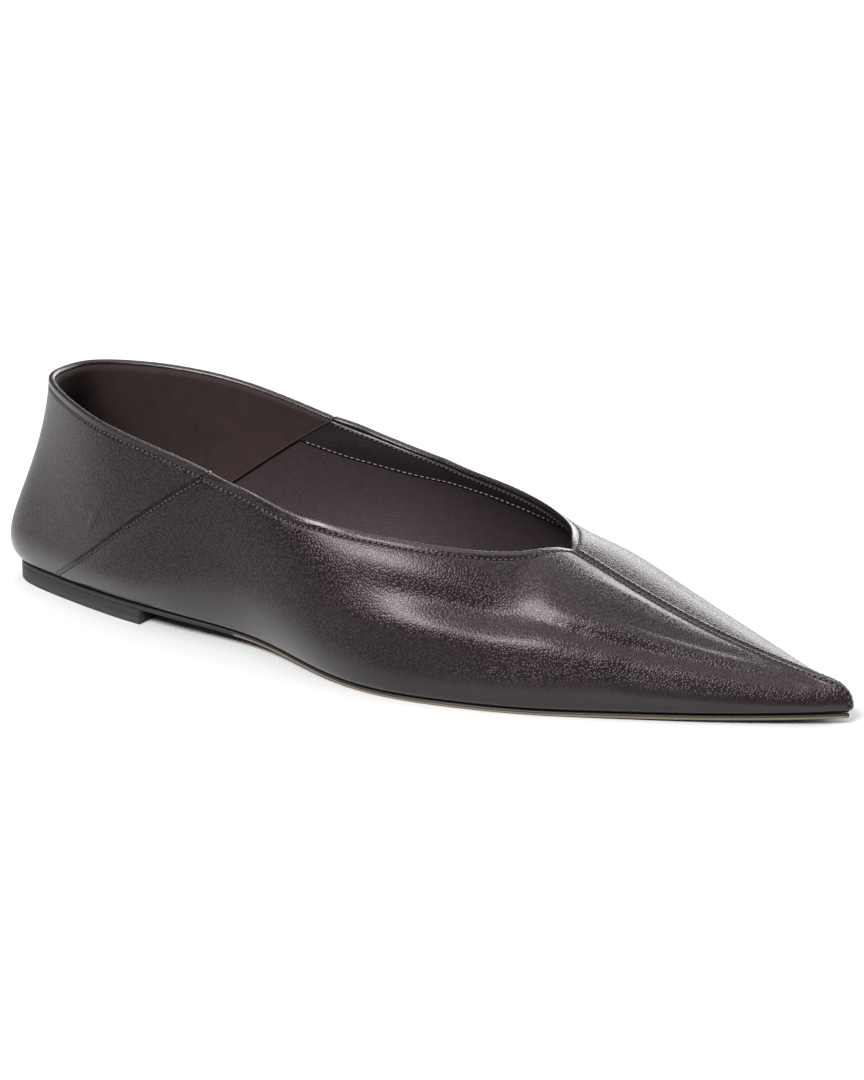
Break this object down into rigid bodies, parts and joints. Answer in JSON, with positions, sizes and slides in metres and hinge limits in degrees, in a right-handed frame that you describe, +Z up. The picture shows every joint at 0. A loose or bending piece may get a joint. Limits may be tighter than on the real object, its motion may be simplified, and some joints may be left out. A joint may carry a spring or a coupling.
{
  "type": "flat shoe",
  "caption": "Low pointed flat shoe of soft dark leather with an open collar, V throat, front seam and low stacked heel; right foot.",
  "frame": {"origin": "middle of the shoe's footprint on the floor, in millimetres of the real shoe", "axes": "+X from the heel to the toe, +Y towards the inner side of the foot, +Z up"},
  "size_m": [0.2704, 0.0806, 0.0649],
  "materials": {
    "upper_leather": "fine pebbled nappa, near black, half gloss",
    "sole_leather": "painted black edge, tan leather underneath",
    "heel_block": "stacked leather painted black, thin rubber top piece",
    "sock_lining": "dark matt lining leather"
  },
  "bodies": {
    "root": {"upper": "upper_leather", "outsole": "sole_leather", "heel": "heel_block", "insole": "sock_lining"}
  },
  "joints": []
}
